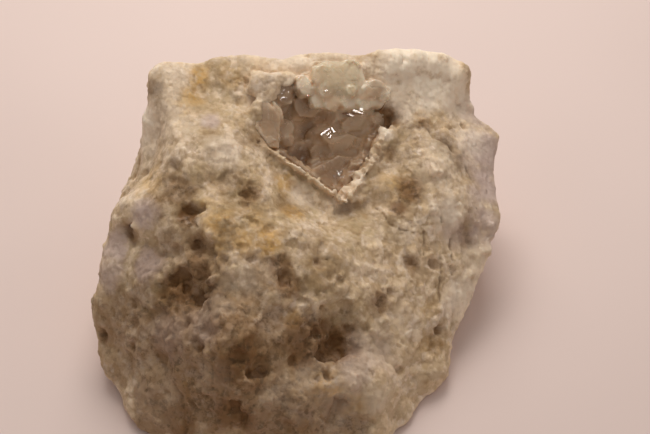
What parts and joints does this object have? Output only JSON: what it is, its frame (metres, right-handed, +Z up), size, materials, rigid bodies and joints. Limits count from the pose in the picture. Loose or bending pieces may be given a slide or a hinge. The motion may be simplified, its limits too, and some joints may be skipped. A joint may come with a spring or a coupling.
{
  "type": "fluorite specimen",
  "caption": "Palm-sized lump of pale granular host rock with an open hollow in its upper face, lined with a crust of blocky glassy crystals.",
  "frame": {"origin": "middle of the bottom of the bounding box, on the flat spot that the rock rests on", "axes": "+X along the long upper edge at the back of the rock, towards its lower corner; +Y towards that edge; +Z up. The hollow faces up, towards -Y and a little towards +X."},
  "size_m": [0.0934, 0.0882, 0.0511],
  "materials": {
    "host_rock": "rough",
    "crystal": "glossy"
  },
  "bodies": {
    "root": {"rock": "host_rock", "crystal_crust": "crystal"}
  },
  "joints": []
}
